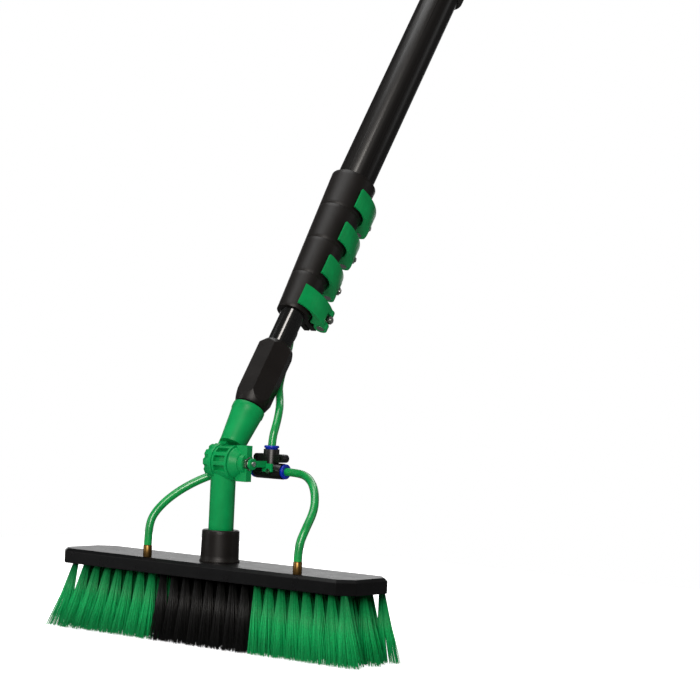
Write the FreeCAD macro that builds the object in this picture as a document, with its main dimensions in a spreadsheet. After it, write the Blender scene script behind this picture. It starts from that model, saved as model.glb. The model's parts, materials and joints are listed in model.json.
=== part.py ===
"""Water-fed window cleaning pole: five telescoping tubes, an angle joint and a wide brush.

Millimetres and degrees.  +X runs along the brush, +Y is the way the pole leans and +Z is up.
The origin is the middle of the hand grip on the largest tube.  Two working frames are used:
the head frame has its origin at the angle joint and the axes of the row, and the pole frame has
the same origin with its third axis up the pole, so a length along it is called a station.
"""
import FreeCAD, Part
import Sketcher
import math
import os
from FreeCAD import Placement, Rotation, Vector

SIZES = (
    # pole
    ("lean_angle", 33.0, "lean of the pole away from vertical, in degrees"),
    ("tube_radius", 19.5, "outer radius of the largest tube"),
    ("tube_step", 3.6, "drop in diameter from one tube to the next"),
    ("tube_wall", 1.5, "wall of every tube"),
    ("base_length", 1500.0, "length of the largest tube"),
    ("end_stagger", 32.0, "how far each tube's upper end stands beyond the next smaller one"),
    # clamps
    ("clamp_station", 177.0, "station of the lowest clamp collar's lower end"),
    ("collar_length", 42.0, "length of a clamp collar, which is also their spacing"),
    ("collar_wall", 5.0, "collar radius beyond its tube, at the upper end"),
    ("seat_length", 14.0, "length of tube held in a collar"),
    ("slit_width", 2.0, "width of the slit that lets a collar close"),
    ("ear_reach", 17.0, "how far a collar's ears stand out"),
    ("ear_thickness", 6.5, "thickness of one ear"),
    ("bolt_reach", 11.5, "clamp bolt axis beyond the collar's surface"),
    ("bolt_radius", 2.5, "radius of a clamp bolt"),
    ("pin_offset", 15.5, "lever pin's distance from the middle of the slit"),
    ("pin_radius", 4.0, "radius of a lever pin"),
    ("lever_width", 22.5, "width of a lever along the pole"),
    ("lever_hub_radius", 7.2, "radius of a lever's cam end"),
    ("lever_wrap", 112.0, "angle that a lever wraps round its collar, in degrees"),
    ("fit_gap", 0.3, "gap between parts that slide or turn past each other"),
    ("running_gap", 0.05, "radial clearance of a pin in its hole"),
    # angle joint
    ("drum_radius", 17.0, "radius of the lower arm's ribbed drum"),
    ("drum_width", 18.6, "width of the ribbed drum along the joint axis"),
    ("disc_radius", 17.7, "radius of the notched disc"),
    ("disc_width", 9.4, "width of the notched disc"),
    ("disc_left", 12.0, "notched disc's outer face, left of the arm's axis"),
    ("cone_base_station", 19.6, "station of the upper arm's lower end"),
    ("cone_base_radius", 12.8, "radius of the upper arm at its lower end"),
    ("cone_top_station", 62.5, "station of the upper arm's rim"),
    ("cone_top_radius", 16.5, "radius of the upper arm's rim"),
    ("joint_bolt_radius", 4.0, "radius of the joint's bolt"),
    ("tee_stud_radius", 2.5, "radius of the bolt's end, which carries the tee's bracket"),
    ("wing_span", 35.0, "span of the wing nut"),
    # tip
    ("sleeve_low", 64.5, "station of the hexagonal sleeve's lower end"),
    ("sleeve_length", 73.5, "length of the hexagonal sleeve"),
    ("sleeve_corner_radius", 19.5, "radius of the sleeve's corners"),
    ("spigot_radius", 13.6, "radius of the spigot below the sleeve"),
    # brush
    ("arm_radius", 12.3, "radius of the lower arm"),
    ("block_drop", 97.0, "brush block's top below the joint axis"),
    ("block_length", 372.0, "length of the brush block"),
    ("block_depth", 75.0, "depth of the brush block"),
    ("block_height", 14.5, "thickness of the brush block"),
    ("block_corner", 14.0, "corner chamfer of the brush block"),
    ("block_bevel", 3.0, "bevel round the top of the brush block"),
    ("socket_radius", 18.2, "radius of the arm socket at its mouth"),
    ("socket_height", 31.0, "height of the arm socket"),
    ("bristle_length", 66.0, "length of the bristles below the block"),
    ("bristle_flare", 30.0, "how far the left end's bristles lean out at their tips"),
    ("bristle_flare_right", 16.0, "how far the right end's bristles lean out at their tips"),
    # water
    ("hose_radius", 4.0, "outer radius of the hoses"),
    ("tee_right", 35.0, "tee's branch, right of the arm's axis"),
    ("tee_back", 29.5, "tee's axis behind the joint axis"),
    ("tee_drop", 6.5, "tee's run below the joint axis"),
    ("tee_half_run", 16.5, "half of the tee's run"),
    ("tee_branch", 21.0, "height of the tee's branch above its run"),
    ("port_radius", 7.75, "radius of a tee port"),
    ("collet_travel", 1.2, "travel of a release collet"),
    ("fitting_radius", 4.3, "radius of a brass hose fitting"),
    ("coil_radius", 64.0, "radius of the coil at the middle of its turns"),
    ("coil_bundle", 18.5, "radius of the coil's bundle of turns"),
    # grip and base end
    ("grip_start", 608.0, "station of the hand grip's lower end"),
    ("grip_length", 300.0, "length of the hand grip"),
    ("grip_radius", 24.5, "radius of the hand grip"),
    ("cap_length", 16.0, "length of the end cap beyond the largest tube"),
)

doc = FreeCAD.newDocument("window_pole")
sheet = doc.addObject("Spreadsheet::Sheet", "Dim")
for row, (alias, number, note) in enumerate(SIZES, start=1):
    sheet.set(f"A{row}", alias)
    sheet.set(f"B{row}", str(number))
    sheet.setAlias(f"B{row}", alias)
    sheet.set(f"C{row}", note)
doc.recompute()

sub_parts = []


def size(expression):
    """The number that an expression over the sheet gives."""
    return float(sheet.evalExpression(str(expression)))


def bind(obj, **expressions):
    """Bind properties of an object to expressions over the sheet."""
    for name, expression in expressions.items():
        obj.setExpression(name, str(expression))
    return obj


def turn_z_to(direction):
    return Rotation(Vector(0, 0, 1), Vector(*direction))


def at(x=0.0, y=0.0, z=0.0, direction=(0, 0, 1)):
    return Placement(Vector(size(x), size(y), size(z)), turn_z_to(direction))


def cylinder(name, radius, height, place=Placement()):
    obj = bind(doc.addObject("Part::Cylinder", name), Radius=radius, Height=height)
    obj.Placement = place
    return obj


def cone(name, start, end, height, place=Placement()):
    obj = bind(doc.addObject("Part::Cone", name), Radius1=start, Radius2=end, Height=height)
    obj.Placement = place
    return obj


def box(name, x, y, z, place=Placement()):
    obj = bind(doc.addObject("Part::Box", name), Length=x, Width=y, Height=z)
    obj.Placement = place
    return obj


def prism(name, sides, corner_radius, height, place=Placement()):
    obj = bind(doc.addObject("Part::Prism", name), Circumradius=corner_radius, Height=height)
    obj.Polygon = sides
    obj.Placement = place
    return obj


def fuse(name, *pieces):
    obj = doc.addObject("Part::MultiFuse", name)
    obj.Shapes = list(pieces)
    return obj


def common(name, *pieces):
    obj = doc.addObject("Part::MultiCommon", name)
    obj.Shapes = list(pieces)
    return obj


def cut(name, base, *tools):
    obj = doc.addObject("Part::Cut", name)
    obj.Base = base
    obj.Tool = tools[0] if len(tools) == 1 else fuse(name + "_tools", *tools)
    return obj


def origin_plane(body, role):
    return next(item for item in body.Origin.OriginFeatures if item.Role == role)


def bound_outline(body, name, role, outline):
    """A closed sketch of straight edges whose corners are bound to expressions."""
    sketch = body.newObject("Sketcher::SketchObject", name)
    sketch.AttachmentSupport = [(origin_plane(body, role), "")]
    sketch.MapMode = "FlatFace"
    corners = [Vector(size(first), size(second), 0) for first, second in outline]
    count = len(corners)
    for index in range(count):
        edge = Part.LineSegment(corners[index], corners[(index + 1) % count])
        sketch.addGeometry(edge, False)
    for index in range(count):
        sketch.addConstraint(Sketcher.Constraint("Coincident", index, 2, (index + 1) % count, 1))
    for index, corner in enumerate(outline):
        for kind, expression, axis in (("DistanceX", corner[0], -2), ("DistanceY", corner[1], -1)):
            if abs(size(expression)) < 1e-9:
                sketch.addConstraint(Sketcher.Constraint("PointOnObject", index, 1, axis))
                continue
            datum = Sketcher.Constraint(kind, -1, 1, index, 1, size(expression))
            number = sketch.addConstraint(datum)
            sketch.setExpression(f"Constraints[{number}]", str(expression))
    return sketch


def turned(name, profile):
    """A body turned about its own Z from a profile of (radius, height) expressions."""
    body = doc.addObject("PartDesign::Body", name)
    sketch = bound_outline(body, name + "_profile", "XZ_Plane", profile)
    feature = body.newObject("PartDesign::Revolution", name + "_turn")
    feature.Profile = sketch
    feature.ReferenceAxis = (sketch, ["V_Axis"])
    feature.Angle = 360
    return body


def padded(name, outline, height):
    """A body padded up its own Z from an outline of (x, y) expressions."""
    body = doc.addObject("PartDesign::Body", name)
    feature_sketch = bound_outline(body, name + "_outline", "XY_Plane", outline)
    feature = body.newObject("PartDesign::Pad", name + "_pad")
    feature.Profile = feature_sketch
    feature.setExpression("Length", height)
    return body


def sub_part(label, obj, frame):
    """Name a finished piece and set it in the row's frame."""
    obj.Label = label
    obj.Placement = frame.multiply(obj.Placement)
    sub_parts.append(obj)
    return obj


# ---------------------------------------------------------------- frames
lean = math.radians(size("Dim.lean_angle"))
pole_axis = Vector(0, math.sin(lean), math.cos(lean))
grip_middle = size("Dim.grip_start + Dim.grip_length / 2")
joint_point = pole_axis * (-grip_middle)
head_frame = Placement(joint_point, Rotation())
pole_frame = Placement(joint_point, Rotation(Vector(1, 0, 0), -size("Dim.lean_angle")))
TUBE_COUNT = 5


def tube_outer(number):
    return f"(Dim.tube_radius - {number - 1} * Dim.tube_step / 2)"


def tube_bore(number):
    return f"({tube_outer(number)} - Dim.tube_wall)"


def collar_low(number):
    """Station of a collar's lower end; number 1 is on the largest tube."""
    return f"(Dim.clamp_station + {TUBE_COUNT - 1 - number} * Dim.collar_length)"


def collar_top(number):
    return f"({collar_low(number)} + Dim.collar_length)"


# ---------------------------------------------------------------- tubes
base_end = f"({collar_top(1)} - Dim.seat_length + Dim.base_length)"
ENTRY_START, ENTRY_END = (-4.2, 22.6, 146.0), (1.1, -5.2, 188.0)
HOLE_CLEARANCE = 0.8
OUTLET_STATION = size(base_end) - 42.0


def rod_between(name, radius, start, end):
    """A cylinder from one point to another in the pole frame."""
    first, last = Vector(*start), Vector(*end)
    run = last - first
    obj = cylinder(name, radius, run.Length)
    obj.Placement = Placement(first, turn_z_to(tuple(run)))
    return obj


def make_tube(number):
    """A tube from its seat in its own collar up to its staggered upper end."""
    if number == TUBE_COUNT:
        low = "(Dim.sleeve_low + Dim.sleeve_length / 3)"
    else:
        low = f"({collar_top(number)} - Dim.seat_length)"
    high = base_end if number == 1 else f"({base_end} - 70 - {number - 1} * Dim.end_stagger)"
    outer, bore = tube_outer(number), tube_bore(number)
    name = "base_tube" if number == 1 else f"tube_{number}"
    body = turned(name + "_body", ((bore, low), (outer, low), (outer, high), (bore, high)))
    if number == 1:
        hole = cylinder("outlet_hole", f"Dim.hose_radius + {HOLE_CLEARANCE}", "40",
                        at(0, 0, OUTLET_STATION, (0, 1, 0)))
        body = cut("tube_with_outlet", body, hole)
    if number == TUBE_COUNT:
        hole = rod_between("hose_hole", f"Dim.hose_radius + {HOLE_CLEARANCE}",
                           ENTRY_START, ENTRY_END)
        body = cut("tube_with_hole", body, hole)
    sub_part(name, body, pole_frame)
    if number > 1:
        passage, depth, flange = "Dim.hose_radius + 2", 20, 3
        plug = turned(f"plug_{number}", (
            (passage, f"{high} - {depth}"), (bore, f"{high} - {depth}"), (bore, high),
            (outer, high), (outer, f"{high} + {flange}"), (passage, f"{high} + {flange}")))
        sub_part(f"inner_plug_{number}", plug, pole_frame)


# ---------------------------------------------------------------- clamps
SLIT_BEARING = {1: 114.0, 2: 114.0, 3: 114.0, 4: 92.0}
LEVER_LOW = 4.0
EAR_ROOT = 4.0


def clamp_frame(number):
    """Origin on the pole at a collar's upper end, third axis down the pole, first along its slit."""
    bearing = math.radians(SLIT_BEARING[number])
    outward = Vector(math.cos(bearing), math.sin(bearing), 0)
    down = Vector(0, 0, -1)
    rotation = Rotation(outward, down.cross(outward), down, "XYZ")
    station = Placement(Vector(0, 0, size(collar_top(number))), rotation)
    return pole_frame.multiply(station)


def make_clamp(number):
    """A slit collar with two ears, its bolt and nut, the lever's pin and the lever."""
    frame = clamp_frame(number)
    tag = f"_{number}"
    length = "Dim.collar_length"
    top = f"({tube_outer(number)} + Dim.collar_wall)"
    low = f"({top} - Dim.tube_step / 2)"
    seat = "Dim.seat_length"
    lever_start = f"({length} - {LEVER_LOW} - Dim.lever_width)"
    lever_middle = f"({lever_start} + Dim.lever_width / 2)"
    bolt_x = f"({top} - Dim.tube_step / 4 + Dim.bolt_reach)"
    pin_y = "Dim.pin_offset"

    # collar
    shell = cone("collar_shell" + tag, top, low, length)
    ears = []
    for side in (1, -1):
        start_y = "Dim.slit_width / 2" if side > 0 else "-Dim.slit_width / 2 - Dim.ear_thickness"
        ear = box(f"ear{tag}_{side + 1}", f"Dim.ear_reach + {EAR_ROOT}", "Dim.ear_thickness",
                  "Dim.lever_width", at(f"{low} - {EAR_ROOT}", start_y, lever_start))
        ears.append(ear)
    solid = fuse("collar_solid" + tag, shell, *ears)
    seat_bore = cylinder("seat_bore" + tag, tube_outer(number), seat)
    slide_bore = cylinder("slide_bore" + tag, f"{tube_outer(number + 1)} + Dim.fit_gap",
                          f"{length} + 2", at(0, 0, -1))
    slit = box("slit" + tag, "60", "Dim.slit_width", f"{length} - {seat} + 1",
               at(0, "-Dim.slit_width / 2", seat))
    bolt_hole = cylinder("bolt_hole" + tag, "Dim.bolt_radius + Dim.fit_gap", "60",
                         at(bolt_x, -30, lever_middle, (0, 1, 0)))
    collar = cut("collar" + tag, solid, seat_bore, slide_bore, slit, bolt_hole)
    sub_part(f"clamp_collar_{number}", collar, frame)

    # bolt with a round head on the far ear, and its nut in the lever's slot
    head_y = "(-Dim.slit_width / 2 - Dim.ear_thickness)"
    tip_y = f"({pin_y} + 10)"
    head = cylinder("bolt_head" + tag, "Dim.bolt_radius + 2", "4",
                    at(bolt_x, f"{head_y} - 4", lever_middle, (0, 1, 0)))
    shank = cylinder("bolt_shank" + tag, "Dim.bolt_radius", f"{tip_y} - {head_y}",
                     at(bolt_x, head_y, lever_middle, (0, 1, 0)))
    bolt = fuse("bolt" + tag, head, shank)
    nut_blank = prism("nut_blank" + tag, 6, "4.4", "4",
                      at(bolt_x, f"{pin_y} + Dim.pin_radius + 0.6", lever_middle, (0, 1, 0)))
    nut_bore = cylinder("nut_bore" + tag, "Dim.bolt_radius", "10",
                        at(bolt_x, f"{pin_y} + 2", lever_middle, (0, 1, 0)))
    nut = cut("nut" + tag, nut_blank, nut_bore)
    pair = doc.addObject("Part::Compound", "bolt_and_nut" + tag)
    pair.Links = [bolt, nut]
    sub_part(f"clamp_bolt_{number}", pair, frame)

    # pin, cross-drilled for the bolt
    pin_rod = cylinder("pin_rod" + tag, "Dim.pin_radius", "Dim.lever_width",
                       at(bolt_x, pin_y, lever_start))
    cross_hole = cylinder("cross_hole" + tag, "Dim.bolt_radius + Dim.running_gap", "20",
                          at(bolt_x, f"{pin_y} - 10", lever_middle, (0, 1, 0)))
    pin = cut("pin" + tag, pin_rod, cross_hole)
    sub_part(f"lever_pin_{number}", pin, frame)

    # lever: a plate that thins towards its tip, on a cam end slotted for the bolt and nut
    pin_bearing = math.degrees(math.atan2(size(pin_y), size(bolt_x)))
    back_radius, back_x, back_rise = 53.0, 11.5, 5.6
    wedge = cylinder("lever_slice" + tag,
                     f"hypot({bolt_x}; {pin_y}) + Dim.lever_hub_radius", "Dim.lever_width",
                     Placement(Vector(0, 0, size(lever_start)),
                               Rotation(Vector(0, 0, 1), pin_bearing)))
    wedge.setExpression("Angle", "Dim.lever_wrap")
    outside = cylinder("lever_outside" + tag, back_radius, "Dim.lever_width",
                       at(back_x, f"{top} + {back_rise} - {back_radius}", lever_start))
    inside = cylinder("lever_inside" + tag, f"{top} + 0.8", "Dim.lever_width + 2",
                      at(0, 0, f"{lever_start} - 1"))
    arm = cut("lever_arm" + tag, common("lever_plate" + tag, wedge, outside), inside)
    hub = cylinder("lever_hub" + tag, "Dim.lever_hub_radius", "Dim.lever_width",
                   at(bolt_x, pin_y, lever_start))
    pin_hole = cylinder("lever_pin_hole" + tag, "Dim.pin_radius + Dim.running_gap",
                        "Dim.lever_width + 2", at(bolt_x, pin_y, f"{lever_start} - 1"))
    nut_slot_start, nut_slot_sweep, nut_slot_width, slot_radius = 38.0, 224.0, 9.6, 11.6
    shank_slot_width = "(2 * Dim.bolt_radius + 0.9)"
    nut_slot = cylinder("lever_nut_slot" + tag, slot_radius, nut_slot_width)
    nut_slot.Placement = Placement(
        Vector(size(bolt_x), size(pin_y), size(lever_middle) - nut_slot_width / 2),
        Rotation(Vector(0, 0, 1), nut_slot_start))
    nut_slot.Angle = nut_slot_sweep
    shank_slot = cylinder("lever_shank_slot" + tag, slot_radius, shank_slot_width,
                          at(bolt_x, pin_y, f"{lever_middle} - {shank_slot_width} / 2"))
    lever = cut("lever" + tag, fuse("lever_blank" + tag, arm, hub), pin_hole, nut_slot, shank_slot)
    sub_part(f"clamp_lever_{number}", lever, frame)


# ---------------------------------------------------------------- tip of the smallest tube
def make_tip():
    """Hexagonal sleeve, its spigot and the flared upper arm of the angle joint."""
    tube = tube_outer(TUBE_COUNT)
    low, length = "Dim.sleeve_low", "Dim.sleeve_length"
    low_bevel, top_bevel = 13.0, 7.0
    corner = "Dim.sleeve_corner_radius"
    hexagon = prism("sleeve_hexagon", 6, corner, length, at(0, 0, low))
    envelope = turned("sleeve_envelope", (
        ("0", low), (f"{corner} - 4", low), (f"{corner} + 0.5", f"{low} + {low_bevel}"),
        (f"{corner} + 0.5", f"{low} + {length} - {top_bevel}"),
        (f"{corner} - 4.5", f"{low} + {length}"), ("0", f"{low} + {length}")))
    bore = cylinder("sleeve_bore", tube, length, at(0, 0, f"{low} + {length} / 3"))
    spigot_bore = cylinder("sleeve_spigot_bore", "Dim.spigot_radius - 3", length, at(0, 0, low))
    sleeve = cut("sleeve", common("sleeve_solid", hexagon, envelope), bore, spigot_bore)
    sub_part("tip_sleeve", sleeve, pole_frame)

    spigot = turned("spigot", (
        ("4.5", "Dim.cone_top_station - 20"), ("Dim.spigot_radius - 3.6", "Dim.cone_top_station - 20"),
        ("Dim.spigot_radius - 3.6", "Dim.cone_top_station"),
        ("Dim.spigot_radius", "Dim.cone_top_station"), ("Dim.spigot_radius", low),
        ("Dim.spigot_radius - 3", low), ("Dim.spigot_radius - 3", f"{low} + 22"),
        ("4.5", f"{low} + 22")))
    sub_part("tip_spigot", spigot, pole_frame)

    flare = turned("flare", (
        ("Dim.spigot_radius - 3.6", "Dim.cone_top_station - 20"),
        ("0", "Dim.cone_top_station - 20"), ("0", "Dim.cone_base_station"),
        ("Dim.cone_base_radius", "Dim.cone_base_station"),
        ("Dim.cone_top_radius - 0.6", "Dim.cone_top_station - 6"),
        ("Dim.cone_top_radius", "Dim.cone_top_station - 5"),
        ("Dim.cone_top_radius", "Dim.cone_top_station"),
        ("Dim.spigot_radius - 3.6", "Dim.cone_top_station")))
    disc = cylinder("notched_disc_blank", "Dim.disc_radius", "Dim.disc_width",
                    at("-Dim.disc_left", 0, 0, (1, 0, 0)))
    web = box("disc_web", "Dim.disc_width", "13", "Dim.cone_base_station + 4",
              at("-Dim.disc_left", -6.5, 0))
    blank = fuse("upper_arm_blank", flare, disc, web)
    notches = []
    notch_count = 11
    for index in range(notch_count):
        angle = 2 * math.pi * index / notch_count
        away = abs(math.degrees(angle) - 90)
        if away < 40:
            continue
        reach = size("Dim.disc_radius") + 0.6
        notches.append(cylinder(f"disc_notch_{index}", "2.3", "Dim.disc_width - 3.4",
                                at("-Dim.disc_left - 1", reach * math.cos(angle),
                                   reach * math.sin(angle), (1, 0, 0))))
    bolt_hole = cylinder("disc_bolt_hole", "Dim.joint_bolt_radius + Dim.running_gap",
                         "Dim.disc_width + 2",
                         at("-Dim.disc_left - 1", 0, 0, (1, 0, 0)))
    arm = cut("upper_arm_solid", blank, bolt_hole, *notches)
    sub_part("upper_arm", arm, pole_frame)


def wing_left():
    """Inner face of the wing nut, along the joint axis."""
    return "(-Dim.disc_left + Dim.disc_width + Dim.drum_width + 2 * Dim.fit_gap)"


def bolt_end():
    """Where the joint bolt steps down to carry the tee's bracket."""
    return f"({wing_left()} + 16.6)"


def make_joint():
    """Bolt through the angle joint, the wing nut that locks it and the metal nut inside."""
    left, start = "(-Dim.disc_left)", wing_left()
    along = (1, 0, 0)
    bolt_head = prism("joint_bolt_head", 6, "7.5", "4", at(f"{left} - 4", 0, 0, along))
    bolt_shank = cylinder("joint_bolt_shank", "Dim.joint_bolt_radius", f"{bolt_end()} - {left}",
                          at(left, 0, 0, along))
    spigot = cylinder("joint_bolt_spigot", "Dim.tee_stud_radius", "5", at(bolt_end(), 0, 0, along))
    sub_part("joint_bolt", fuse("joint_bolt_solid", bolt_head, bolt_shank, spigot), head_frame)

    pocket_start, hub_end = f"({start} + 11.4)", f"({start} + 15.4)"
    dome = cone("wing_dome", "Dim.drum_radius - 1.5", "Dim.drum_radius - 6.5", "8",
                at(start, 0, 0, along))
    hub = cylinder("wing_hub", "9.5", f"{hub_end} - {start} - 2", at(start, 0, 0, along))
    bar = box("wing_bar", f"{hub_end} - {start} - 2", "8", "Dim.wing_span",
              at(f"{start} + 2", "-4", "-Dim.wing_span / 2"))
    pocket = prism("wing_nut_pocket", 6, "6.9", "8", at(pocket_start, 0, 0, along))
    bore = cylinder("wing_bolt_bore", "Dim.joint_bolt_radius + Dim.running_gap", "30",
                    at(f"{start} - 1", 0, 0, along))
    sub_part("wing_nut", cut("wing", fuse("wing_blank", dome, hub, bar), pocket, bore), head_frame)
    blank = prism("joint_nut_blank", 6, "6.8", "4.5", at(pocket_start, 0, 0, along))
    nut_bore = cylinder("joint_nut_bore", "Dim.joint_bolt_radius + Dim.running_gap", "30",
                        at(f"{start} - 1", 0, 0, along))
    sub_part("joint_nut", cut("joint_nut_solid", blank, nut_bore), head_frame)


# ---------------------------------------------------------------- brush head
POCKET_COUNT, POCKET_START = 11, 10.9
ARM_BEARING = 180.0
BRISTLE_ZONES = (("left", -164.0, -50.5), ("centre", -49.5, 64.5), ("right", 65.5, 176.0))
FITTINGS = (("left", -66.5), ("right", 121.5))
FITTING_FRONT = 31.0


def make_lower_arm():
    """Vertical arm with the ribbed drum of the angle joint on top."""
    drum_left = "(-Dim.disc_left + Dim.disc_width + Dim.fit_gap)"
    foot = "(-Dim.block_drop + 3)"
    arm = cylinder("arm_rod", "Dim.arm_radius", f"-4 - {foot}", at(0, 0, foot))
    disc_room = cylinder("disc_room", "Dim.disc_radius + Dim.fit_gap", "40",
                         at(f"{drum_left} - 40", 0, 0, (1, 0, 0)))
    drum = cylinder("drum_blank", "Dim.drum_radius", "Dim.drum_width",
                    at(drum_left, 0, 0, (1, 0, 0)))
    blank = fuse("arm_blank", cut("arm_trimmed", arm, disc_room), drum)
    pockets = []
    for index in range(POCKET_COUNT):
        angle = 360.0 * index / POCKET_COUNT + POCKET_START
        if abs(angle - ARM_BEARING) < 45:
            continue
        turn = Rotation(Vector(1, 0, 0), angle)
        pocket = box(f"drum_pocket_{index}", "Dim.drum_width - 5", "6.0", "8")
        corner = Vector(size(f"{drum_left} + 2.5"), -3.0, size("Dim.drum_radius") - 4.5)
        pocket.Placement = Placement(turn.multVec(corner), turn)
        pockets.append(pocket)
    bolt_hole = cylinder("drum_bolt_hole", "Dim.joint_bolt_radius + Dim.running_gap", "60",
                         at(-30, 0, 0, (1, 0, 0)))
    sub_part("lower_arm", cut("lower_arm_solid", blank, bolt_hole, *pockets), head_frame)


def bristle_lean(along):
    """How far the bristles lean out at their tips, this far from the brush's middle."""
    side = "Dim.bristle_flare_right" if along > 0 else "Dim.bristle_flare"
    return size(side) * along / 170.0


def make_brush():
    """Brush block, arm socket, three bristle packs and the two brass hose fittings."""
    half_x, half_y, corner = "Dim.block_length / 2", "Dim.block_depth / 2", "Dim.block_corner"
    outline = []
    for sign_x, sign_y in ((1, 1), (-1, 1), (-1, -1), (1, -1)):
        along = (f"{sign_x} * ({half_x} - {corner})", f"{sign_y} * {half_y}")
        across = (f"{sign_x} * {half_x}", f"{sign_y} * ({half_y} - {corner})")
        outline += [across, along] if sign_x * sign_y > 0 else [along, across]
    block = padded("block", outline, "Dim.block_height")
    doc.recompute()
    top = size("Dim.block_height")
    pad = block.Tip
    edges = [f"Edge{index}" for index, edge in enumerate(pad.Shape.Edges, start=1)
             if all(abs(vertex.Z - top) < 1e-6 for vertex in edge.Vertexes)]
    bevel = block.newObject("PartDesign::Chamfer", "block_bevel")
    bevel.Base = (pad, edges)
    bevel.setExpression("Size", "Dim.block_bevel")
    block.Placement = at(0, 0, "-Dim.block_drop - Dim.block_height")
    holes = [cylinder(f"fitting_hole_{side}", "Dim.fitting_radius - 1", "40",
                      at(along, -FITTING_FRONT, "-Dim.block_drop - 30"))
             for side, along in FITTINGS]
    sub_part("brush_block", cut("brush_block_solid", block, *holes), head_frame)

    mouth, foot = "-Dim.block_drop + Dim.socket_height", "-Dim.block_drop"
    inner = "Dim.arm_radius + Dim.running_gap"
    socket = turned("socket", (
        ("0", foot), ("Dim.socket_radius + 1.4", foot), ("Dim.socket_radius + 1.4", f"{foot} + 1.5"),
        ("Dim.socket_radius + 0.6", f"{foot} + 3"), ("Dim.socket_radius", f"{mouth} - 1"),
        ("Dim.socket_radius - 1", mouth), (inner, mouth), (inner, f"{foot} + 3"),
        ("0", f"{foot} + 3")))
    sub_part("arm_socket", socket, head_frame)

    root_y, tip_y = 29.0, 38.0
    bottom = size("-Dim.block_drop - Dim.block_height")
    for name, start, end in BRISTLE_ZONES:
        lean_start, lean_end = bristle_lean(start), bristle_lean(end)
        pack = doc.addObject("Part::Wedge", "pack_" + name)
        pack.Ymin, pack.Ymax = 0.0, 1.0
        pack.setExpression("Ymax", "Dim.bristle_length")
        pack.Xmin, pack.Xmax, pack.X2min, pack.X2max = start, end, start + lean_start, end + lean_end
        pack.Zmin, pack.Zmax, pack.Z2min, pack.Z2max = -root_y, root_y, -tip_y, tip_y
        pack.Placement = Placement(Vector(0, 0, bottom), Rotation(Vector(1, 0, 0), -90))
        sub_part("bristles_" + name, pack, head_frame)

    for side, along in FITTINGS:
        fitting = turned("fitting_" + side, (
            ("1.6", "-14"), ("Dim.fitting_radius - 1", "-14"), ("Dim.fitting_radius - 1", "0"),
            ("Dim.fitting_radius", "0"), ("Dim.fitting_radius", "11"),
            ("Dim.fitting_radius - 0.6", "12"), ("1.6", "12")))
        fitting.Placement = at(along, -FITTING_FRONT, "-Dim.block_drop")
        sub_part("hose_fitting_" + side, fitting, head_frame)


# ---------------------------------------------------------------- tee and its collets
def port_places():
    """Mouth of each tee port, in the head frame, with the way it faces."""
    half = size("Dim.tee_half_run")
    x, y, z = size("Dim.tee_right"), size("Dim.tee_back"), -size("Dim.tee_drop")
    return (("left", Vector(x - half, y, z), (-1, 0, 0)),
            ("right", Vector(x + half, y, z), (1, 0, 0)),
            ("top", Vector(x, y, z + size("Dim.tee_branch")), (0, 0, 1)))


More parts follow.
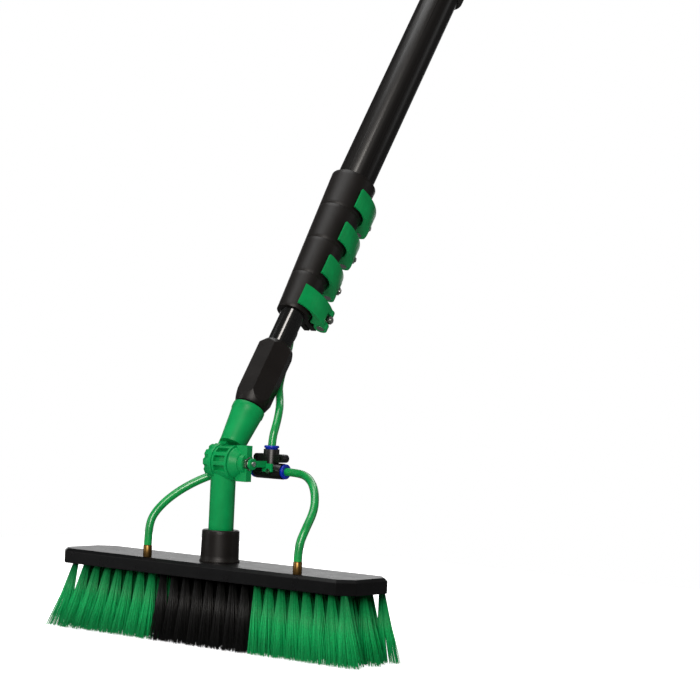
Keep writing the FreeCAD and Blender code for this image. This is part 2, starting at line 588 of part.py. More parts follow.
def make_tee():
    """Push-fit tee, its bracket and screw, and three release collets that slide."""
    x, y, z = size("Dim.tee_right"), size("Dim.tee_back"), -size("Dim.tee_drop")
    centre = Vector(x, y, z)
    run = cylinder("tee_run", "Dim.port_radius", "2 * Dim.tee_half_run",
                   at(x - size("Dim.tee_half_run"), y, z, (1, 0, 0)))
    branch = cylinder("tee_branch", "Dim.port_radius", "Dim.tee_branch", at(x, y, z))
    bar = box("tee_ear_bar", "30", "9", "8", at(x - 15, y - 4.5, 2))
    ear_ends = [cylinder(f"tee_ear_{side + 1}", "4", "9", at(x + 15 * side, y - 4.5, 6, (0, 1, 0)))
                for side in (-1, 1)]
    solid = fuse("tee_solid", run, branch, bar, *ear_ends)
    cuts = []
    for name, mouth, out in port_places():
        inward = Vector(*out) * -1
        start = mouth + Vector(*out)
        cuts.append(cylinder(f"tee_counterbore_{name}", "6.6", "8.5",
                             at(*start, tuple(inward))))
        depth = (mouth - centre).Length
        cuts.append(cylinder(f"tee_bore_{name}", "Dim.hose_radius + Dim.fit_gap", depth,
                             at(*mouth, tuple(inward))))
    screw_x = x + 5
    cuts.append(cylinder("tee_screw_hole", "1.3", "13", at(screw_x, y - 17, z, (0, 1, 0))))
    cuts += [cylinder(f"tee_ear_hole_{side + 1}", "1.6", "20", at(x + 15 * side, y - 10, 6, (0, 1, 0)))
             for side in (-1, 1)]
    sub_part("tee_body", cut("tee", solid, *cuts), head_frame)

    ring_x, ring_width, pad_thickness = size(bolt_end()) + 0.9, 3.0, 2.0
    run_front = y - size("Dim.port_radius")
    ring = cylinder("bracket_ring", "Dim.tee_stud_radius + 3", ring_width,
                    at(ring_x, 0, 0, (1, 0, 0)))
    arm = box("bracket_arm", ring_width, run_front - 1, "6", at(ring_x, 0, -3))
    pad = box("bracket_pad", "12", pad_thickness, "8",
              at(ring_x - 2, run_front - pad_thickness - 0.1, -4 - z / 2 + z))
    stud_hole = cylinder("bracket_stud_hole", "Dim.tee_stud_radius", "20",
                         at(ring_x - 5, 0, 0, (1, 0, 0)))
    screw_hole = cylinder("bracket_screw_hole", "1.3", "12", at(screw_x, run_front - 6, z, (0, 1, 0)))
    bracket = cut("bracket", fuse("bracket_blank", ring, arm, pad), stud_hole, screw_hole)
    sub_part("tee_bracket", bracket, head_frame)
    screw_head = run_front - pad_thickness - 0.1
    screw = fuse("screw",
                 cylinder("screw_shank", "1.3", "5", at(screw_x, screw_head, z, (0, 1, 0))),
                 cylinder("screw_head", "2.4", "1.6", at(screw_x, screw_head - 1.6, z, (0, 1, 0))))
    sub_part("tee_screw", screw, head_frame)

    travel = "Dim.collet_travel"
    for name, mouth, out in port_places():
        collet = turned("collet_" + name, (
            ("Dim.hose_radius + 0.15", "-5.5"), ("6.3", "-5.5"), ("6.3", travel),
            ("Dim.port_radius - 0.4", travel), ("Dim.port_radius - 0.4", f"{travel} + 1.8"),
            ("Dim.port_radius - 1", f"{travel} + 2.4"),
            ("Dim.hose_radius + 0.15", f"{travel} + 2.4")))
        collet.Placement = at(*mouth, out)
        sub_part("release_collet_" + name, collet, head_frame)


# ---------------------------------------------------------------- hoses
def rounded_path(points):
    """Straight runs joined by the largest tangent arcs that two runs allow."""
    points = [Vector(*point) for point in points]
    edges = []
    start = points[0]
    radii = []
    for before, corner, after in zip(points, points[1:], points[2:]):
        come, leave = corner - before, after - corner
        turn = come.getAngle(leave)
        trim = 0.45 * min(come.Length, leave.Length)
        radii.append(trim / math.tan(turn / 2))
        first = corner - come.normalize() * trim
        last = corner + leave.normalize() * trim
        toward = (first + last) * 0.5 - corner
        depth = radii[-1] / math.cos(turn / 2) - radii[-1]
        middle = corner + toward.normalize() * depth
        edges.append(Part.LineSegment(start, first).toShape())
        edges.append(Part.Arc(first, middle, last).toShape())
        start = last
    edges.append(Part.LineSegment(start, points[-1]).toShape())
    return Part.Wire(edges), radii


def hose(label, points, frame):
    """A hose as a plain tube along a hand-chosen route."""
    path, radii = rounded_path(points)
    radius = size("Dim.hose_radius")
    start = Vector(*points[0])
    direction = Vector(*points[1]) - start
    section = Part.Wire([Part.Circle(start, direction, radius).toShape()])
    solid = path.makePipeShell([section], True, False)
    share = solid.Volume / (math.pi * radius ** 2 * path.Length)
    print(f"{label}: length {path.Length:.0f}, smallest radius "
          f"{min(radii):.0f}, volume share {share:.3f}")
    feature = doc.addObject("Part::Feature", label + "_tube")
    feature.Shape = solid
    sub_part(label, feature, frame)


JET_LEFT = ((24.0, 29.5, -6.5), (3.0, 29.5, -6.5), (-14.0, 26.0, -8.5), (-28.0, 18.0, -14.0),
            (-41.0, 7.5, -21.5), (-52.5, -4.5, -31.5), (-61.0, -17.0, -43.5),
            (-65.8, -27.5, -57.0), (-66.5, -31.0, -70.5), (-66.5, -31.0, -85.0))
JET_RIGHT = ((46.0, 29.5, -6.5), (67.0, 29.5, -6.5), (84.0, 24.0, -8.5), (99.0, 14.5, -14.5),
             (112.0, 3.0, -24.5), (122.0, -10.5, -38.5), (123.5, -24.0, -55.0),
             (121.5, -31.0, -70.5), (121.5, -31.0, -85.0))
FEED = ((35.0, 29.5, 9.0), (35.0, 29.5, 24.5), (34.2, 36.0, 38.6), (27.5, 48.2, 52.2),
        (14.0, 65.0, 61.5), (0.5, 78.1, 78.1))
FEED_SHARE = 0.58
TAIL = ((0.0, 979.4, 1497.1), (0.0, 1004.6, 1480.8), (-2.0, 1026.0, 1452.0),
        (-5.0, 1036.5, 1417.0), (-8.0, 1040.5, 1380.0), (-11.0, 1040.0, 1345.0),
        (-12.0, 1037.7, 1311.2))
TAIL_END = ((12.0, 1037.7, 1309.0), (13.0, 1039.0, 1278.0), (16.0, 1043.0, 1245.0),
            (17.0, 1044.0, 1211.0))
COIL_STATION = size(base_end) - 201.0
TIE_STATION = size(base_end) - 189.0
TAIL_BASE_END = 1831.0      # where the largest tube ends when the tail's route is as listed
along_pole = pole_frame.Rotation.multVec(Vector(0, 0, 1))
tail_frame = Placement(head_frame.Base + along_pole * (size(base_end) - TAIL_BASE_END), Rotation())
COIL_GAP = 0.5


def make_hoses():
    """Every hose: two to the jets, the feed, the stretch inside the pole and the tail."""
    hose("jet_hose_left", JET_LEFT, head_frame)
    hose("jet_hose_right", JET_RIGHT, head_frame)
    to_head = pole_frame.Rotation
    start, end = Vector(*ENTRY_START), Vector(*ENTRY_END)
    handover = start + (end - start) * FEED_SHARE
    feed_end = (tuple(to_head.multVec(start)), tuple(to_head.multVec(handover)))
    hose("feed_hose", FEED + feed_end, head_frame)
    inner_end = (0.0, 0.0, size(f"{base_end} - 60"))
    inner = (tuple(handover), ENTRY_END, (0.6, -3.2, 214.0), (0.0, 0.0, 250.0), inner_end)
    hose("inner_hose", inner, pole_frame)

    tube = tube_outer(TUBE_COUNT)
    sleeve_top = "(Dim.sleeve_low + Dim.sleeve_length)"
    rod = rod_between("grommet_rod", "Dim.hose_radius + 2.4", ENTRY_START, ENTRY_END)
    passage = rod_between("grommet_passage", f"Dim.hose_radius + {HOLE_CLEARANCE}",
                          ENTRY_START, ENTRY_END)
    keep = cylinder("grommet_keep", f"{tube} + 3", "30", at(0, 0, f"{sleeve_top} + 0.5"))
    core = cylinder("grommet_core", f"{tube} + 0.05", "80", at(0, 0, f"{sleeve_top} - 20"))
    behind = box("grommet_behind", "40", "40", "60", at(-20, 0, f"{sleeve_top} - 10"))
    grommet = cut("grommet", common("grommet_blank", rod, keep, behind), passage, core)
    sub_part("hose_grommet", grommet, pole_frame)

    hose("tail_hose", TAIL, tail_frame)
    hose("tail_end_hose", TAIL_END, tail_frame)


def make_tail_fittings():
    """Coil of hose against the tube's underside and the quick connector on its end."""
    offset = "Dim.tube_radius + Dim.coil_bundle + Dim.coil_radius"
    torus = bind(doc.addObject("Part::Torus", "coil"),
                 Radius1="Dim.coil_radius", Radius2="Dim.coil_bundle")
    torus.Placement = at(0, f"{offset} + {COIL_GAP}", COIL_STATION, (1, 0, 0))
    sub_part("tail_coil", torus, pole_frame)

    connector = turned("connector", (
        ("2.5", "0"), ("7.0", "0"), ("7.0", "14"), ("9.5", "16"), ("9.5", "38"), ("7.5", "40"),
        ("7.5", "46"), ("5.0", "46"), ("5.0", "20"), ("2.5", "20")))
    connector.Placement = at(*TAIL_END[-1], (0, 0, -1))
    sub_part("hose_connector", connector, tail_frame)


# ---------------------------------------------------------------- grip and base end
def make_base():
    """Hand grip, end cap with the hose outlet, and the tie that carries the coil."""
    tube = "Dim.tube_radius"
    grip = turned("grip", (
        (tube, "Dim.grip_start"), ("Dim.grip_radius", "Dim.grip_start"),
        ("Dim.grip_radius", "Dim.grip_start + Dim.grip_length"),
        (tube, "Dim.grip_start + Dim.grip_length")))
    sub_part("base_grip", grip, pole_frame)

    cap = turned("cap", (
        ("0", f"{base_end} - 24"), (f"{tube} - Dim.tube_wall", f"{base_end} - 24"),
        (f"{tube} - Dim.tube_wall", base_end), (f"{tube} + 2", base_end),
        (f"{tube} + 2", f"{base_end} + Dim.cap_length - 3"),
        (f"{tube} - 1", f"{base_end} + Dim.cap_length"), ("0", f"{base_end} + Dim.cap_length")))
    sub_part("end_cap", cap, pole_frame)


def make_outlet():
    """Rubber outlet boot where the hose leaves the largest tube."""
    tube = "Dim.tube_radius"
    rod = cylinder("outlet_rod", "Dim.hose_radius + 3", "14",
                   at(0, f"{tube} - 3", OUTLET_STATION, (0, 1, 0)))
    base = cylinder("outlet_base", "Dim.hose_radius + 6", "5",
                    at(0, f"{tube} - 3", OUTLET_STATION, (0, 1, 0)))
    core = cylinder("outlet_core", f"{tube} + 0.02", "60", at(0, 0, OUTLET_STATION - 30))
    passage = cylinder("outlet_passage", f"Dim.hose_radius + {HOLE_CLEARANCE}", "60",
                       at(0, 0, OUTLET_STATION, (0, 1, 0)))
    boot = cut("boot", fuse("boot_blank", rod, base), core, passage)
    sub_part("outlet_boot", boot, pole_frame)


def make_tie():
    """Hook-and-loop strap round the tube and the coil's bundle together."""
    width, thickness, reach = 16.0, 1.4, 42.5
    inner = "Dim.tube_radius + 0.05"

    def loop(name, radius, length, start):
        """Two round ends joined by a straight stretch, across the pole."""
        middle = box(name + "_middle", f"2 * ({radius})", reach, length, at(f"-({radius})", 0, start))
        ends = [cylinder(f"{name}_end_{index}", radius, length, at(0, y, start))
                for index, y in enumerate((0, reach))]
        return fuse(name, middle, *ends)

    outside = loop("tie_outside", f"{inner} + {thickness}", width, TIE_STATION - width / 2)
    inside = loop("tie_inside", inner, width + 2, TIE_STATION - width / 2 - 1)
    sub_part("coil_tie", cut("tie", outside, inside), pole_frame)


for tube_number in range(1, TUBE_COUNT + 1):
    make_tube(tube_number)
for clamp_number in range(1, TUBE_COUNT):
    make_clamp(clamp_number)
make_tip()
make_joint()
make_lower_arm()
make_brush()
make_tee()
make_hoses()
make_tail_fittings()
make_base()
make_outlet()
make_tie()
doc.recompute()

for item in doc.Objects:
    if "Invalid" in item.State or "Error" in item.State:
        raise RuntimeError(f"{item.Label} failed: {item.State}")
os.makedirs("parts", exist_ok=True)
for item in sub_parts:
    if item.Shape.isNull() or not item.Shape.isValid():
        raise RuntimeError(f"{item.Label} has no valid shape")
    item.Shape.exportStep(os.path.join("parts", item.Label + ".step"))
print(len(sub_parts), "sub-parts written")
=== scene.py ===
"""Looks of the water-fed window cleaning pole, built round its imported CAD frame, in metres."""

import json
import math
import random

import bmesh
import bpy
from mathutils import Matrix, Vector


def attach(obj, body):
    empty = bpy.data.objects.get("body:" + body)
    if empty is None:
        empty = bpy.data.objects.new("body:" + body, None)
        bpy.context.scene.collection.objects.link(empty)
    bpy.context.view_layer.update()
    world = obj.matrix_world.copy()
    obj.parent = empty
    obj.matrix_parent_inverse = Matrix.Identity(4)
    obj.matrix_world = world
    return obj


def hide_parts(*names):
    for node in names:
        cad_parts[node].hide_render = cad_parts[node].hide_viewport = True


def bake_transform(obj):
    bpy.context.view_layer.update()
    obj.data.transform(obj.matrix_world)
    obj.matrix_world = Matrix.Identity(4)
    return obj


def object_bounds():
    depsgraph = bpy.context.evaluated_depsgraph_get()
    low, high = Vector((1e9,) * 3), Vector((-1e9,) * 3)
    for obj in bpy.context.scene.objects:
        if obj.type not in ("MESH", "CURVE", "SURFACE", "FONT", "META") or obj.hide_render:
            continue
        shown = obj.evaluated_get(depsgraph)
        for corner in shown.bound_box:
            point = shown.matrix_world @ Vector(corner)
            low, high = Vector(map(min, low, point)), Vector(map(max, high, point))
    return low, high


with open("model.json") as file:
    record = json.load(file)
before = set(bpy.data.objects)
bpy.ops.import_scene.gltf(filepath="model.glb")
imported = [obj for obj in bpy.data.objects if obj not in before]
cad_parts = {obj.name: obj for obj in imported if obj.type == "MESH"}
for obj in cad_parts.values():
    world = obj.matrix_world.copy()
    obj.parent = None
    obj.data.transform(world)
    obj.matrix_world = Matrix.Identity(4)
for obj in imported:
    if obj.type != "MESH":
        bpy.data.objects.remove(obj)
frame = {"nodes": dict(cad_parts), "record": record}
cad_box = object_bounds()

MM = 0.001
LEAN = math.radians(33.0)
GRIP_MIDDLE = 0.758                 # from the grip's middle to the angle joint, along the pole
POLE_UP = Vector((0, math.sin(LEAN), math.cos(LEAN)))
POLE_BACK = Vector((0, math.cos(LEAN), -math.sin(LEAN)))
JOINT = POLE_UP * -GRIP_MIDDLE      # the angle joint's centre
HOSE_D = 0.008
random.seed(7)


def head(point):
    """A point given in millimetres from the angle joint."""
    return JOINT + Vector(point) * MM


def pole(point):
    """A point given in millimetres across, behind and up the pole from the angle joint."""
    x, y, s = point
    return JOINT + (Vector((x, 0, 0)) + POLE_BACK * y + POLE_UP * s) * MM


# ---------------------------------------------------------------- camera and lights
CAMERA_PLACE = (1389.0, -1637.2, 92.8)
CAMERA_AZIMUTH, CAMERA_RISE, CAMERA_ROLL = math.radians(37.17), math.radians(0.58), math.radians(2.60)
SENSOR, LENS_PER_SENSOR = 36.0, 2200 / 700


def make_camera():
    """The camera of the picture; returns its right, up and forward directions."""
    azimuth, rise, roll = CAMERA_AZIMUTH, CAMERA_RISE, CAMERA_ROLL
    forward = Vector((-math.sin(azimuth) * math.cos(rise), math.cos(azimuth) * math.cos(rise),
                      math.sin(rise)))
    level = Vector((math.cos(azimuth), math.sin(azimuth), 0))
    upright = level.cross(forward)
    right = level * math.cos(roll) + upright * math.sin(roll)
    up = upright * math.cos(roll) - level * math.sin(roll)
    data = bpy.data.cameras.new("camera")
    data.sensor_width, data.lens = SENSOR, SENSOR * LENS_PER_SENSOR
    data.clip_end = 50
    camera = bpy.data.objects.new("camera", data)
    bpy.context.collection.objects.link(camera)
    rotation = Matrix((right, up, -forward)).transposed()
    camera.matrix_world = Matrix.Translation(head(CAMERA_PLACE)) @ rotation.to_4x4()
    bpy.context.scene.camera = camera
    return right, up, forward


VIEW_RIGHT, VIEW_UP, VIEW_FORWARD = make_camera()


def make_light(name, place, aim, size, power, colour=(1, 1, 1)):
    data = bpy.data.lights.new(name, "AREA")
    data.shape, data.size, data.size_y = "RECTANGLE", size[0], size[1]
    data.energy, data.color = power, colour
    light = bpy.data.objects.new(name, data)
    bpy.context.collection.objects.link(light)
    light.location = place
    light.rotation_euler = (Vector(aim) - Vector(place)).to_track_quat("-Z", "Y").to_euler()


def lift_for_camera(tree, low, high, target):
    """A strength that is high where the camera sees it and low where it lights other things."""
    path = tree.nodes.new("ShaderNodeLightPath")
    level = tree.nodes.new("ShaderNodeMapRange")
    level.inputs["To Min"].default_value = low
    level.inputs["To Max"].default_value = high
    tree.links.new(path.outputs["Is Camera Ray"], level.inputs["Value"])
    tree.links.new(level.outputs["Result"], target)


def make_studio():
    """A pale floor, a white surround that lights little, and six soft lights."""
    world = bpy.data.worlds.new("surround")
    bpy.context.scene.world = world
    world.use_nodes = True
    background = world.node_tree.nodes["Background"]
    background.inputs["Color"].default_value = (1, 1, 1, 1)
    lift_for_camera(world.node_tree, 0.09, 1.0, background.inputs["Strength"])
    floor_mesh = bpy.data.meshes.new("floor")
    z, middle, half = cad_box[0][2] - 0.0005, JOINT.y, 1.0
    floor_mesh.from_pydata([(-half, middle - half, z), (half, middle - half, z),
                            (half, middle + half, z), (-half, middle + half, z)],
                           [], [(0, 1, 2, 3)])
    floor = bpy.data.objects.new("floor", floor_mesh)
    bpy.context.collection.objects.link(floor)
    material = bpy.data.materials.new("floor_white")
    material.use_nodes = True
    shader = material.node_tree.nodes["Principled BSDF"]
    shader.inputs["Base Color"].default_value = (0.8, 0.8, 0.8, 1)
    shader.inputs["Roughness"].default_value = 0.8
    shader.inputs["Emission Color"].default_value = (1, 1, 1, 1)
    lift_for_camera(material.node_tree, 0.0, 1.0, shader.inputs["Emission Strength"])
    floor_mesh.materials.append(material)
    floor.visible_glossy = False
    bpy.context.scene.view_settings.view_transform = "Standard"
    aim = head((0, 0, 60))
    make_light("key", aim - VIEW_FORWARD * 2.1 - VIEW_RIGHT * 0.25 + VIEW_UP * 0.9, aim,
               (0.75, 1.3), 44, (1, 0.95, 0.9))
    make_light("side", aim - VIEW_FORWARD * 0.3 - VIEW_RIGHT * 2.2 + VIEW_UP * 0.6, aim,
               (0.8, 1.4), 6)
    make_light("rim", aim - VIEW_FORWARD * 0.1 + VIEW_RIGHT * 2.2 + VIEW_UP * 0.4, aim,
               (0.6, 1.4), 2)
    make_light("back", aim + VIEW_FORWARD * 2.2 + VIEW_UP * 0.3, aim, (2.4, 0.5), 5)
    make_light("behind", aim + VIEW_FORWARD * 1.6 + VIEW_RIGHT * 0.4 + VIEW_UP * 1.7, aim,
               (1.2, 1.2), 14)
    make_light("top", aim + VIEW_UP * 1.6 - VIEW_RIGHT * 0.3, aim, (1.4, 1.0), 16)


make_studio()


# ---------------------------------------------------------------- materials
def new_material(name):
    material = bpy.data.materials.new(name)
    material.use_nodes = True
    nodes, links = material.node_tree.nodes, material.node_tree.links
    return material, nodes, links, nodes["Principled BSDF"]


def position(nodes):
    return nodes.new("ShaderNodeTexCoord").outputs["Object"]


def noise(nodes, links, scale, detail=2.0, vector=None, roughness=0.5):
    node = nodes.new("ShaderNodeTexNoise")
    node.inputs["Scale"].default_value = scale
    node.inputs["Detail"].default_value = detail
    node.inputs["Roughness"].default_value = roughness
    links.new(vector or position(nodes), node.inputs["Vector"])
    return node.outputs["Fac"]


def ramp(nodes, links, factor, low, high, start=0.3, end=0.7):
    """Two colours, or two grey levels, spread over a stretch of a factor."""
    node = nodes.new("ShaderNodeValToRGB")
    for element, place, tone in zip(node.color_ramp.elements, (start, end), (low, high)):
        element.position = place
        element.color = (*tone, 1) if isinstance(tone, tuple) else (tone, tone, tone, 1)
    links.new(factor, node.inputs["Fac"])
    return node.outputs["Color"]


def bump(nodes, links, shader, height, distance, strength=1.0):
    node = nodes.new("ShaderNodeBump")
    node.inputs["Distance"].default_value = distance
    node.inputs["Strength"].default_value = strength
    links.new(height, node.inputs["Height"])
    links.new(node.outputs["Normal"], shader.inputs["Normal"])


def moulded(name, colour, gloss, grain=0.00002, grain_scale=1400, coat=0.0, mottle=0.12,
            shine=0.5):
    """Moulded plastic: slight mottle in colour and gloss, and a fine moulded grain."""
    material, nodes, links, shader = new_material(name)
    low = tuple(c * (1 - mottle) for c in colour)
    high = tuple(c * (1 + mottle) for c in colour)
    links.new(ramp(nodes, links, noise(nodes, links, 45, 3), low, high),
              shader.inputs["Base Color"])
    links.new(ramp(nodes, links, noise(nodes, links, 60, 1), gloss - 0.03, gloss + 0.03),
              shader.inputs["Roughness"])
    shader.inputs["Specular IOR Level"].default_value = shine
    shader.inputs["Coat Weight"].default_value = coat
    shader.inputs["Coat Roughness"].default_value = 0.12
    bump(nodes, links, shader, noise(nodes, links, grain_scale, 2), grain)
    return material


def metal(name, colour, roughness, scale=500):
    material, nodes, links, shader = new_material(name)
    shader.inputs["Metallic"].default_value = 1.0
    tone = noise(nodes, links, 120, 3)
    links.new(ramp(nodes, links, tone, tuple(c * 0.82 for c in colour), colour),
              shader.inputs["Base Color"])
    links.new(ramp(nodes, links, noise(nodes, links, scale, 2), roughness - 0.06,
                   roughness + 0.08), shader.inputs["Roughness"])
    bump(nodes, links, shader, noise(nodes, links, scale * 2, 2), 0.00001)
    return material


def tube_finish(name, colour, roughness, coat):
    """Tube drawn along the pole: fine lines that run with it."""
    material, nodes, links, shader = new_material(name)
    turn = nodes.new("ShaderNodeMapping")
    turn.vector_type = "TEXTURE"
    turn.inputs["Rotation"].default_value = (-LEAN, 0, 0)
    turn.inputs["Scale"].default_value = (1, 1, 400)
    links.new(position(nodes), turn.inputs["Vector"])
    lines = noise(nodes, links, 900, 2, turn.outputs["Vector"])
    links.new(ramp(nodes, links, lines, tuple(c * 0.8 for c in colour),
                   tuple(c * 1.25 for c in colour)), shader.inputs["Base Color"])
    links.new(ramp(nodes, links, lines, roughness - 0.04, roughness + 0.05),
              shader.inputs["Roughness"])
    shader.inputs["Coat Weight"].default_value = coat
    shader.inputs["Coat Roughness"].default_value = 0.1
    bump(nodes, links, shader, lines, 0.00001, 0.2)
    return material


def hose_finish(name, colour):
    """Flexible hose that lets some light through."""
    material, nodes, links, shader = new_material(name)
    low, high = tuple(c * 0.85 for c in colour), tuple(c * 1.15 for c in colour)
    links.new(ramp(nodes, links, noise(nodes, links, 60, 2), low, high),
              shader.inputs["Base Color"])
    shader.inputs["Roughness"].default_value = 0.28
    shader.inputs["Subsurface Weight"].default_value = 0.25
    shader.inputs["Subsurface Radius"].default_value = (0.0004, 0.003, 0.0008)
    shader.inputs["Subsurface Scale"].default_value = 1.0
    shader.inputs["Coat Weight"].default_value = 0.35
    shader.inputs["Coat Roughness"].default_value = 0.15
    bump(nodes, links, shader, noise(nodes, links, 350, 2), 0.00002)
    return material


GREEN = (0.002, 0.27, 0.07)
green_plastic = moulded("green_plastic", GREEN, 0.4, coat=0.02, shine=0.16)
black_plastic = moulded("black_plastic", (0.0065, 0.0052, 0.0046), 0.42, grain=0.00005,
                        grain_scale=2200, shine=0.3)
block_plastic = moulded("block_plastic", (0.0012, 0.0012, 0.0015), 0.3, coat=0.04, grain=0.000004,
                        shine=0.28)
tee_plastic = moulded("tee_plastic", (0.005, 0.0045, 0.0045), 0.36)
blue_plastic = moulded("blue_plastic", (0.002, 0.02, 0.36), 0.3, coat=0.05, shine=0.35)
rubber = moulded("rubber", (0.014, 0.014, 0.014), 0.72, grain=0.00008, grain_scale=900)
strap = moulded("strap", (0.01, 0.01, 0.01), 0.8, grain=0.0002, grain_scale=500)
pole_satin = tube_finish("pole_satin", (0.004, 0.0033, 0.003), 0.3, 0.0)
pole_gloss = tube_finish("pole_gloss", (0.004, 0.004, 0.004), 0.17, 0.5)
steel = metal("steel", (0.6, 0.59, 0.57), 0.28)
brass = metal("brass", (0.3, 0.17, 0.05), 0.4)
hose_green = hose_finish("hose_green", (0.003, 0.27, 0.055))

FINISHES = {
    "pole_black": pole_satin, "black_plastic": black_plastic, "green_plastic": green_plastic,
    "block_black": block_plastic, "steel": steel, "brass": brass, "collet_blue": blue_plastic,
    "hose_green": hose_green, "rubber_black": rubber, "strap_black": strap,
}
NODE_FINISHES = {"tube_5": pole_gloss, "tee_body": tee_plastic, "hose_connector": tee_plastic}
slots = {row["node"]: row["material_slot"] for row in frame["record"]["subparts"]}


def finish_nodes():
    """Every CAD node gets its finish, and a small bevel on its edges."""
    bevels = {"brush_block": 1.2, "tee_body": 0.9, "lower_arm": 0.5, "upper_arm": 0.6,
              "wing_nut": 1.2, "tip_sleeve": 0.9, "arm_socket": 0.6, "tee_bracket": 0.6}
    for name, node in frame["nodes"].items():
        finish = NODE_FINISHES.get(name) or FINISHES.get(slots[name])
        if finish:
            for index in range(max(1, len(node.material_slots))):
                if not node.material_slots:
                    node.data.materials.append(finish)
                node.material_slots[index].material = finish
        width = bevels.get(name, 0.9 if name.startswith("clamp_lever") else 0.35)
        weld = node.modifiers.new("weld", "WELD")
        weld.merge_threshold = 1e-6
        bevel = node.modifiers.new("bevel", "BEVEL")
        bevel.width = width * MM
        bevel.segments = 2
        bevel.limit_method = "ANGLE"
        bevel.angle_limit = math.radians(35)
        bevel.use_clamp_overlap = True
        bevel.harden_normals = True


finish_nodes()


# ---------------------------------------------------------------- helpers for pieces
def add_mesh(name, vertices, faces, finish, smooth=True):
    mesh = bpy.data.meshes.new(name)
    mesh.from_pydata([tuple(v) for v in vertices], [], faces)
    mesh.validate()
    mesh.polygons.foreach_set("use_smooth", [smooth] * len(mesh.polygons))
    mesh.materials.append(finish)
    piece = bpy.data.objects.new(name, mesh)
    bpy.context.collection.objects.link(piece)
    return piece


def smooth_line(name, points, radius, finish):
    """A hose: a round section along one smooth curve that has the points as its controls."""
    data = bpy.data.curves.new(name, "CURVE")
    data.dimensions = "3D"
    spline = data.splines.new("NURBS")
    spline.points.add(len(points) - 1)
    for control, point in zip(spline.points, points):
        control.co = (*point, 1)
    spline.order_u = 3
    spline.use_endpoint_u = True
    spline.resolution_u = 8
    data.bevel_depth = radius
    data.bevel_resolution = 5
    data.use_fill_caps = True
    data.materials.append(finish)
    piece = bpy.data.objects.new(name, data)
    bpy.context.collection.objects.link(piece)
    return piece


def centreline(curve):
    """Points along a curve's own line, in order."""
    copy = curve.copy()
    copy.data = curve.data.copy()
    copy.data.bevel_depth = 0
    bpy.context.collection.objects.link(copy)
    bpy.context.view_layer.update()
    mesh = bpy.data.meshes.new_from_object(copy.evaluated_get(bpy.context.evaluated_depsgraph_get()))
    points = [v.co.copy() for v in mesh.vertices]
    bpy.data.objects.remove(copy)
    return points


def to_mesh(curve):
    """The curve object as a mesh object of the same name."""
    bpy.context.view_layer.update()
    mesh = bpy.data.meshes.new_from_object(
        curve.evaluated_get(bpy.context.evaluated_depsgraph_get()))
    name = curve.name
    bpy.data.objects.remove(curve)
    piece = bpy.data.objects.new(name, mesh)
    piece.name = name
    bpy.context.collection.objects.link(piece)
    mesh.polygons.foreach_set("use_smooth", [True] * len(mesh.polygons))
    return piece


# ---------------------------------------------------------------- hoses
JET_LEFT = ((24.0, 29.5, -6.5), (3.0, 29.5, -6.5), (-14.0, 26.0, -8.5), (-28.0, 18.0, -14.0),
            (-41.0, 7.5, -21.5), (-52.5, -4.5, -31.5), (-61.0, -17.0, -43.5),
            (-65.8, -27.5, -57.0), (-66.5, -31.0, -70.5), (-66.5, -31.0, -85.0))
JET_RIGHT = ((46.0, 29.5, -6.5), (67.0, 29.5, -6.5), (84.0, 24.0, -8.5), (99.0, 14.5, -14.5),
             (112.0, 3.0, -24.5), (122.0, -10.5, -38.5), (123.5, -24.0, -55.0),
             (121.5, -31.0, -70.5), (121.5, -31.0, -85.0))
FEED = ((35.0, 29.5, 9.0), (35.0, 29.5, 24.5), (34.2, 36.0, 38.6), (27.5, 48.2, 52.2),
        (14.0, 65.0, 61.5), (0.5, 78.1, 78.1))
ENTRY_START, ENTRY_END = (-4.2, 22.6, 146.0), (1.1, -5.2, 188.0)
FEED_SHARE = 0.58                   # how far along the entry the feed hose goes in
TAIL = ((0.0, 979.4, 1497.1), (0.0, 1004.6, 1480.8), (-2.0, 1026.0, 1452.0),
        (-5.0, 1036.5, 1417.0), (-8.0, 1040.5, 1380.0), (-11.0, 1040.0, 1345.0),
        (-12.0, 1037.7, 1311.2))
TAIL_END = ((12.0, 1037.7, 1309.0), (13.0, 1039.0, 1278.0), (16.0, 1043.0, 1245.0),
            (17.0, 1044.0, 1211.0))


def make_jet_hoses():
    for side, route in (("left", JET_LEFT), ("right", JET_RIGHT)):
        name = f"jet_hose_{side}_line"
        hose = smooth_line(name, [head(p) for p in route], HOSE_D / 2, hose_green)
        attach(hose, "brush_head")
        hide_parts(f"jet_hose_{side}")
        centreline(hose)


def make_feed_hose():
    start, end = pole(ENTRY_START), pole(ENTRY_END)
    route = [head(p) for p in FEED] + [start, start.lerp(end, FEED_SHARE)]
    line = smooth_line("feed_hose_line", route, HOSE_D / 2, hose_green)
    points = centreline(line)
    hose = to_mesh(line)
    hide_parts("feed_hose")
    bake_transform(hose)


COIL_CENTRE = (0.0, 973.7, 1311.2)
COIL_RADIUS, TURN_POINTS, LANE = 64.0, 16, 8.1
COLUMNS = ((-14.0, (0.5, -0.5)), (-7.0, (-1, 0, 1)), (0.0, (1.5, 0.5, -0.5, -1.5)),
           (7.0, (-1, 0, 1)), (13.5, (0.5, -0.5)))


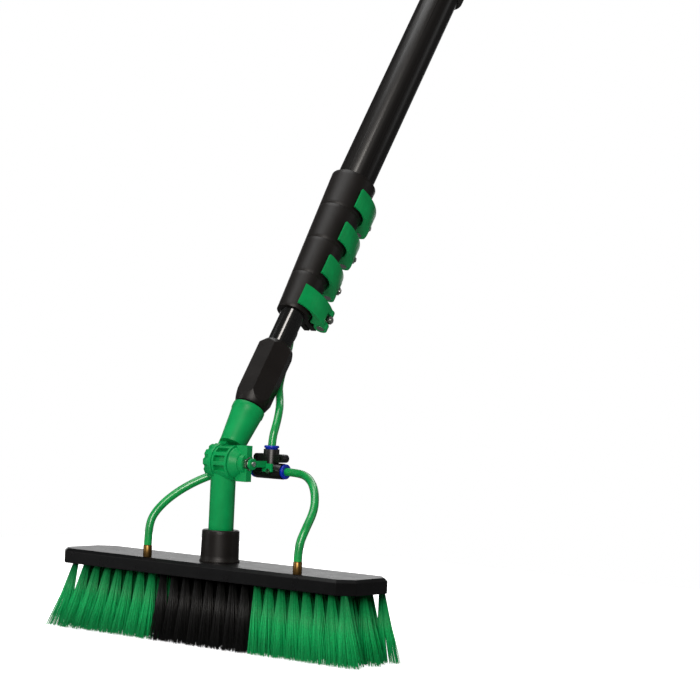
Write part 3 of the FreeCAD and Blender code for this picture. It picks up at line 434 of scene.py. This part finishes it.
def coil_points():
    """The turns of the tail, laid over and beside each other, each lane one diameter on."""
    lanes = [(x, share * LANE) for x, shares in COLUMNS for share in shares]
    widen = 1 / math.cos(math.pi / TURN_POINTS)
    points = []
    for turn, (x, rise) in enumerate(lanes):
        next_x, next_rise = lanes[min(turn + 1, len(lanes) - 1)]
        for step in range(TURN_POINTS):
            angle = -2 * math.pi * step / TURN_POINTS
            share = max(0.0, (step / TURN_POINTS - 0.7) / 0.3)
            radius = (COIL_RADIUS + rise + (next_rise - rise) * share) * widen
            points.append((x + (next_x - x) * share + COIL_CENTRE[0],
                           COIL_CENTRE[1] + radius * math.cos(angle),
                           COIL_CENTRE[2] + radius * math.sin(angle)))
    return points


def make_tail():
    """The tail hose: out of the pole, round the coil and down to its connector."""
    route = [head(p) for p in TAIL[:-1] + tuple(coil_points()) + TAIL_END]
    tail = smooth_line("tail_line", route, HOSE_D / 2, hose_green)
    tail.data.resolution_u = 4
    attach(tail, "base_section")
    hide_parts("tail_hose", "tail_coil", "tail_end_hose")
    centreline(tail)


make_jet_hoses()
make_feed_hose()
make_tail()


# ---------------------------------------------------------------- bristles
BLOCK_BOTTOM, TIP_DEPTH = -111.5, -177.5
ROW_FRONT, TIP_FRONT, ROWS = 29.0, 31.0, 5
TUFT_PITCH, FIRST_TUFT, TUFTS = 14.78, -164.0, 24
FILAMENTS, FILAMENT_RADIUS = 130, 0.00042
ROOT_SPREAD, TIP_SPREAD_X, TIP_SPREAD_Y = 2.6, 8.2, 8.0     # radius of a tuft, in millimetres
HALF_BRUSH = 170.0
ZONES = (("left", -164.5, -52.0), ("centre", -52.0, 64.5), ("right", 64.5, 177.0))


def bristle_finish(name, root, tip):
    """Fine filament, with painted shade making it darker between the tufts near the block; paler, in
    its own colour, at the tips.
    """
    material, nodes, links, shader = new_material(name)
    split = nodes.new("ShaderNodeSeparateXYZ")
    links.new(position(nodes), split.inputs["Vector"])
    span = nodes.new("ShaderNodeMapRange")
    span.inputs["From Min"].default_value = head((0, 0, BLOCK_BOTTOM)).z
    span.inputs["From Max"].default_value = head((0, 0, TIP_DEPTH)).z
    links.new(split.outputs["Z"], span.inputs["Value"])
    # painted shade: the colour runs from the dark root colour at the block to the filament's own tip
    # colour
    down = ramp(nodes, links, span.outputs["Result"], root, tip, 0.0, 0.6)
    grain = ramp(nodes, links, noise(nodes, links, 700, 2), 0.72, 1.18, 0.3, 0.7)
    mix = nodes.new("ShaderNodeMix")
    mix.data_type, mix.blend_type = "RGBA", "MULTIPLY"
    mix.inputs["Factor"].default_value = 1.0
    links.new(down, mix.inputs["A"])
    links.new(grain, mix.inputs["B"])
    links.new(mix.outputs["Result"], shader.inputs["Base Color"])
    shader.inputs["Roughness"].default_value = 0.42
    return material


# the root colours are painted shade between the tufts; the tip colours are the filaments' own
bristle_green = bristle_finish("bristle_green", (0.0012, 0.14, 0.036), (0.002, 0.48, 0.125))
bristle_black = bristle_finish("bristle_black", (0.001, 0.001, 0.001), (0.006, 0.006, 0.006))


def flare(x):
    """How far a tuft at x leans out by its tip."""
    share = x / HALF_BRUSH
    end_lean = 11.0 if x > 0 else 24.0
    return end_lean * share * (0.35 + 0.65 * abs(share))


def filament(vertices, faces, root, tip, bow, radius):
    """One bristle: three sides, bowed between its root and its tip, thinner at its end."""
    along = (tip - root).normalized()
    side = along.orthogonal().normalized()
    other = along.cross(side)
    start = len(vertices)
    for share, width in ((0.0, 1.0), (0.5, 0.95), (1.0, 0.45)):
        centre = root.lerp(tip, share) + bow * (4 * share * (1 - share))
        for corner in range(3):
            angle = 2 * math.pi * corner / 3
            vertices.append(centre + (side * math.cos(angle) + other * math.sin(angle))
                            * radius * width)
    for ring in range(2):
        for corner in range(3):
            a = start + ring * 3 + corner
            b = start + ring * 3 + (corner + 1) % 3
            faces.append((a, b, b + 3, a + 3))
    last = start + 6
    faces.append((last, last + 1, last + 2))
    faces.append((start + 2, start + 1, start))


def make_bristles():
    """Tufts in rows across the block; each tuft is a fan of filaments."""
    for name, low, high in ZONES:
        vertices, faces = [], []
        for row in range(ROWS):
            across = -ROW_FRONT + 2 * ROW_FRONT * row / (ROWS - 1)
            shift = 0.5 * TUFT_PITCH if row % 2 else 0.0
            for index in range(TUFTS):
                x = FIRST_TUFT + shift + index * TUFT_PITCH
                if not low <= x < high or x > 176.5:
                    continue
                lean = flare(x) + random.uniform(-1.5, 1.5)
                widen = 1 + 0.45 * abs(x / HALF_BRUSH)
                spread_y = (TIP_FRONT - ROW_FRONT) * across / ROW_FRONT
                for _ in range(FILAMENTS):
                    angle, reach = random.uniform(0, 2 * math.pi), math.sqrt(random.random())
                    ox, oy = reach * math.cos(angle), reach * math.sin(angle)
                    root = head((x + ROOT_SPREAD * ox, across + ROOT_SPREAD * oy, BLOCK_BOTTOM + 1.0))
                    depth = TIP_DEPTH + 0.6 + abs(random.gauss(0, 0.9))
                    tip = head((x + lean + TIP_SPREAD_X * widen * ox + random.gauss(0, 0.7),
                                across + spread_y + TIP_SPREAD_Y * oy + random.gauss(0, 0.7), depth))
                    bow = Vector((-lean * 0.09, -spread_y * 0.1, 0)) * MM
                    filament(vertices, faces, root, tip, bow, FILAMENT_RADIUS)
        finish = bristle_black if name == "centre" else bristle_green
        pack = add_mesh(f"tufts_{name}", vertices, faces, finish)
        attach(pack, "brush_head")
        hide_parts(f"bristles_{name}")


make_bristles()
